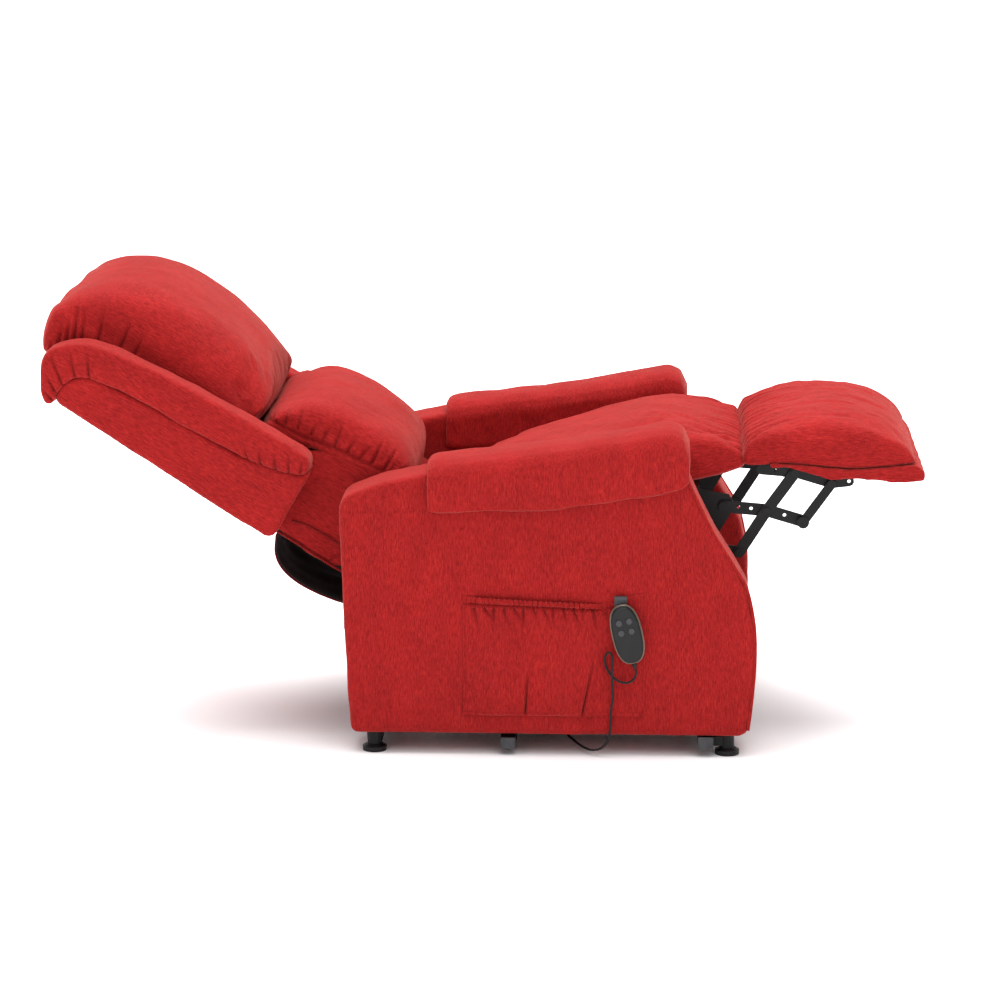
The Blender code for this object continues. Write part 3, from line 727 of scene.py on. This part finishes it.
def add_seat():
    outline = [(-95, 466), (-66, 486), (0, 517), (86, 549), (197, 584), (297, 613), (396, 627),
               (440, 618), (471, 596), (486, 564), (484, 545), (438, 526), (395, 516), (170, 461),
               (-48, 407), (-66, 432)]
    base = (395, 516)
    item = soft_form("seat_cushion_cover", outline, -SEAT_HALF, SEAT_HALF, base, SEAT_LIE, 0.7, 0.008, 4, 12)
    points = points_of(item)
    over_deck = points[:, 2] - (base[1] + (points[:, 1] - base[0]) * SEAT_SLOPE)
    sewn = np.maximum(1 - smoothstep(over_deck, 8, 40), smoothstep(points[:, 1], 462, 474))
    inflate(item, sewn, 16, pressure=3.0, shrink=5)
    surface = Surface(finer(item))
    up = smoothstep(surface.normals[:, 2], 0.05, 0.4)
    for index, x in enumerate(range(-225, 226, 25)):
        reach = 45 + 45 * math.sin(index * 2.3) ** 2
        end = (x * 0.95 + 8 * math.sin(index * 1.7), 477 - reach)
        surface.gather("top", (x, 477), end, 4.5, 4.0, up, 0.55)
    surface.noise(170, 2.4, 21, up)
    surface.noise(55, 0.8, 22, up)
    surface.noise(26, 0.25, 23)
    finished(surface.done(), LOOKS["seat"], "seat", "seat_cushion", padded=0.7)


# Long soft folds on the footrest: where each one is, and where it starts and ends.
FOOTREST_FOLDS = ((-190, 690, 560), (-150, 770, 640), (-96, 700, 590), (-30, 760, 610), (44, 690, 570),
                  (120, 750, 620), (176, 700, 600))


def add_footrest():
    outline = [(473, 566), (480, 592), (502, 622), (576, 647), (675, 653), (755, 632), (800, 600),
               (814, 574), (806, 556), (742, 548), (684, 544), (568, 553), (500, 549), (478, 553)]
    item = soft_form("footrest_pad_cover", outline, -FOOTREST_HALF, FOOTREST_HALF, (496, 553), 0,
                     0.68, 0.007, 3, 5)
    points = points_of(item)
    sewn = 1 - np.minimum(smoothstep(points[:, 2], 556, 580), smoothstep(points[:, 1], 486, 500))
    inflate(item, sewn, 16, pressure=3.0, shrink=4)
    surface = Surface(finer(item))
    up = smoothstep(surface.normals[:, 2], 0.05, 0.45)
    for index, x in enumerate(range(-235, 236, 24)):
        reach = 55 + 75 * math.sin(index * 1.9) ** 2
        surface.gather("top", (x, 481), (x * 0.92, 481 + reach), 4.0, 4.5, up, 0.55)
    for x, start, end in FOOTREST_FOLDS:
        surface.gather("top", (x, start), (x * 1.05 + 10, end), 8.0, 2.4, up, 0.0)
    surface.noise(130, 2.2, 31, up)
    surface.noise(45, 0.8, 32, up)
    finished(surface.done(), LOOKS["rest"], "footrest", "footrest_pad", padded=0.7)


def add_footrest_lip():
    """The cloth round the footrest's board."""
    surface = Surface(finer(soft_copy("footrest_lip_cover", "footrest_board", 0.004, 3)))
    surface.push += 2.0
    surface.noise(30, 0.8, 33)
    finished(surface.done(most=BOARD_HALF), LOOKS["rest"], "footrest", "footrest_board")


# ---------------------------------------------------------------- back

# Gathers on the ends of the head pillow and of the wing bolsters, each from its sewn end outwards.
HEAD_GATHERS = (
    ((-878, 748), (-872, 784)), ((-868, 752), (-858, 790)), ((-853, 757), (-838, 822)),
    ((-835, 760), (-824, 840)), ((-820, 764), (-806, 876)), ((-806, 762), (-794, 856)),
    ((-778, 760), (-755, 862)), ((-742, 745), (-704, 834)), ((-716, 735), (-680, 806)),
    ((-655, 700), (-640, 722)),
)

WING_GATHERS = (
    ((-849, 686), (-874, 714)), ((-843, 702), (-868, 750)), ((-829, 716), (-854, 782)),
    ((-804, 728), (-815, 790)), ((-778, 726), (-780, 786)), ((-476, 570), (-481, 604)),
    ((-450, 561), (-454, 602)), ((-421, 552), (-425, 592)), ((-396, 546), (-397, 588)),
    ((-374, 544), (-369, 578)),
)


def height_over(points, base):
    """How far points stand over base, square to the lie of the back."""
    return (points[:, 2] - base[1]) * BACK_LIE_COS + (points[:, 1] - base[0]) * BACK_LIE_SIN


def add_head_pillow():
    outline = [(-888, 772), (-872, 838), (-822, 890), (-730, 912), (-645, 892), (-575, 846), (-503, 781),
               (-453, 728), (-426, 692), (-425, 668), (-453, 642), (-494, 612), (-655, 702), (-766, 752),
               (-850, 738)]
    base = (-492, 608)
    item = soft_form("head_pillow_cover", outline, -HEAD_HALF, HEAD_HALF, base, BACK_LIE, 0.46, 0.0065, 6, 18)
    sewn = 1 - smoothstep(height_over(points_of(item), base), 4, 36)
    inflate(item, sewn, 20, pressure=3.5, shrink=8)
    surface = Surface(finer(item))
    for s in (-1, 1):
        side = side_mask(surface, s, 0.45)
        for start, end in HEAD_GATHERS:
            surface.gather("side", start, end, 3.3, 8.5, side)
    surface.noise(170, 2.6, 41)
    surface.noise(60, 0.7, 42)
    finished(surface.done(), LOOKS["back"], "back", "head_pillow", padded=0.8)


def add_lumbar_pillow():
    outline = [(-462, 618), (-436, 648), (-372, 680), (-304, 672), (-239, 638), (-180, 594), (-153, 545),
               (-165, 492), (-205, 466), (-276, 498), (-345, 560), (-400, 580), (-462, 600)]
    base = (-205, 500)
    item = soft_form("lumbar_pillow_cover", outline, -LUMBAR_HALF, LUMBAR_HALF, base, BACK_LIE,
                     0.55, 0.0065, 6, 14)
    sewn = 1 - smoothstep(height_over(points_of(item), base), 6, 36)
    inflate(item, sewn, 20, pressure=3.0, shrink=7)
    surface = Surface(finer(item))
    line = [(-456, 640), (-382, 602), (-305, 573), (-227, 534), (-190, 512)]
    for s in (-1, 1):
        side = side_mask(surface, s, 0.4)
        surface.seam("side", line, 4, 4.0, side, 1.2, 17)
        for step in range(11):
            t = step / 10
            start = (-436 + 240 * t, 636 - 112 * t)
            reach = 20 + 30 * math.sin(step * 2.2) ** 2
            surface.gather("side", start, (start[0] + 8 + 20 * t, start[1] + reach), 3.2, 5.5, side)
    surface.noise(140, 2.2, 51)
    surface.noise(50, 0.6, 52)
    finished(surface.done(most=LUMBAR_OUTER), LOOKS["back"], "back", "lumbar_pillow", padded=0.8)


def add_lumbar_sides():
    """The cloth sides below the lumbar pillow, drawn down to the arm box."""
    edge = [(-440, 424), (-432, 500), (-400, 560), (-352, 572), (-300, 560), (-240, 524), (-200, 500),
            (-196, 440), (-230, 400), (-310, 340)]
    for word, s in SIDES:
        item = soft_form(f"lumbar_side_{word}", edge, s * 226.5, s * 238, (-900, -900), 0, 1.0, 0.005, 4, 4)
        surface = Surface(finer(item))
        surface.noise(60, 1.0, 55)
        surface.seam("side", [(-437, 418), (-330, 351), (-240, 410)], 3, 2.0)
        finished(surface.done(), LOOKS["back"], "back")


def add_seat_bridge():
    """The slack cloth that closes the gap between the seat cushion and the lumbar pillow."""
    dip = [(-62, 482), (-85, 466), (-115, 457), (-150, 461), (-178, 474), (-196, 492)]
    path = smooth_path([(0, *p) for p in dip], 4)
    points = []
    for x in np.linspace(-BRIDGE_HALF, BRIDGE_HALF, 93):
        for i, (_, forward, up) in enumerate(path):
            slack = math.sin(math.pi * i / (len(path) - 1))
            wave = 2.5 * math.sin(x / 19) + 1.5 * math.sin(x / 7.7 + i / 3)
            points.append((x, forward, up + slack * wave))
    item = thickened(grid_sheet("seat_bridge_cloth", points, len(path)), 0.002, 0)
    dressed(item, LOOKS["seat"])
    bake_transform(item)


def add_wing_bolsters():
    outline = [(-874, 735), (-868, 768), (-850, 787), (-803, 798), (-755, 792), (-650, 746), (-555, 697),
               (-470, 648), (-385, 600), (-356, 578), (-356, 558), (-376, 542), (-488, 578), (-659, 673),
               (-766, 724), (-806, 728), (-828, 715), (-841, 698), (-847, 680), (-864, 675), (-873, 700)]
    for word, s in SIDES:
        item = soft_form(f"wing_bolster_cover_{word}", outline, s * WING_INNER, s * WING_OUTER, (-488, 590),
                         BACK_LIE, 0.88, 0.005, 5, 9)
        surface = Surface(finer(item))
        side = side_mask(surface, s, 0.4)
        for start, end in WING_GATHERS:
            surface.gather("side", start, end, 3.2, 4.5, side)
        surface.noise(90, 1.2, 61)
        surface.noise(36, 0.5, 62)
        finished(surface.done(), LOOKS["back"], "back", f"wing_bolster_{word}", padded=0.7)


def add_back_shell():
    surface = Surface(finer(soft_copy("back_shell_cover", "back_shell", 0.005, 9)))
    for s in (-1, 1):
        surface.push += 2.5 * side_mask(surface, s) * smoothstep(np.abs(surface.points[:, 0]), 300, 320)
    surface.noise(120, 1.1, 71)
    surface.noise(40, 0.3, 72)
    finished(surface.done(), LOOKS["back"], "back", "back_shell")


def flap_sheet(name, inset):
    """One layer of the rear flap, inset from its outside in millimetres."""
    hang = [(-434, 400), (-436, 365), (-424, 335), (-396, 307), (-358, 284), (-324, 270), (-303, 264)]
    route = smooth_path([(0, *p) for p in hang], 6)
    points = []
    for x in np.linspace(-FLAP_HALF, FLAP_HALF, 91):
        for i, (_, forward, up) in enumerate(route):
            wave = 2.0 * math.sin(x / 31 + i / 9) + 1.2 * math.sin(x / 13 - i / 5)
            points.append((x, forward + inset + wave * 0.6, up + inset + wave * 0.6))
    return thickened(grid_sheet(name, points, len(route), turned=True), 0.0025, 0)


def add_flap():
    """The loose rear flap, cloth outside and dark lining inside."""
    cloth = flap_sheet("rear_flap_cloth", 0.0)
    finished(cloth, LOOKS["flap"], "back", "rear_flap", slot="flap_cloth")
    finished(flap_sheet("rear_flap_lining", 3.0), LOOKS["lining"], "back", slot="flap_cloth")


def add_lumbar_piping():
    """The corded edges between the lumbar sides and the rear flap."""
    edges = ([(-438, 416), (-385, 383), (-300, 330), (-262, 330)],
             [(-402, 432), (-372, 424), (-330, 400), (-286, 372), (-262, 366)])
    for word, s in SIDES:
        for number, edge in enumerate(edges):
            points = smooth_path([(s * 238.5, *p) for p in edge], 6)
            tube(f"lumbar_piping_{word}_{number}", points, 2.6, "back", LOOKS["flap"])


# ---------------------------------------------------------------- carried-over pieces

def dress_nodes():
    """Gives every CAD solid the look of its slot."""
    looks = {
        "black_metal": LOOKS["metal"], "black_plastic": LOOKS["plastic"], "grey_plastic": LOOKS["grey"],
        "bright_steel": LOOKS["steel"], "bronze_trim": LOOKS["bronze"], "flap_cloth": LOOKS["flap"],
        "cord_jacket": LOOKS["cord"], "red_chenille": LOOKS["panel"],
    }
    slots = {part["node"]: part["material_slot"] for part in frame["record"]["subparts"]}
    for name, item in NODES.items():
        for place in item.material_slots:
            place.material = looks[slots[name]]


def make_looks():
    return {
        "panel": chenille("chenille_upright", ALONG_UP),
        "seat": chenille("chenille_seat", ALONG_SEAT),
        "rest": chenille("chenille_footrest", ALONG_REST),
        "back": chenille("chenille_back", ALONG_BACK),
        "flap": chenille("chenille_flap", ALONG_BACK, 0.6),
        "lining": moulded("dark_lining", (0.006, 0.004, 0.004, 1), 0.8),
        "metal": powder_coat("black_powder_coat", (0.0022, 0.0022, 0.0025, 1), 0.46, 0.0),
        "plastic": moulded("black_plastic", (0.0025, 0.0025, 0.003, 1), 0.40),
        "grey": moulded("grey_plastic", (0.035, 0.035, 0.038, 1), 0.5),
        "steel": ground_steel("bright_steel", (0.42, 0.42, 0.43, 1), 0.28),
        "bronze": ground_steel("bronze_trim", (0.12, 0.09, 0.07, 1), 0.30),
        "cord": moulded("cord_jacket", (0.003, 0.003, 0.0033, 1), 0.5),
    }


add_camera()
LOOKS = make_looks()
add_cord()
add_studio()
dress_nodes()
add_side_panels()
add_arm_pads()
add_pocket()
add_seat()
add_footrest()
add_footrest_lip()
add_seat_bridge()
add_head_pillow()
add_lumbar_pillow()
add_lumbar_sides()
add_wing_bolsters()
add_back_shell()
add_flap()
add_lumbar_piping()
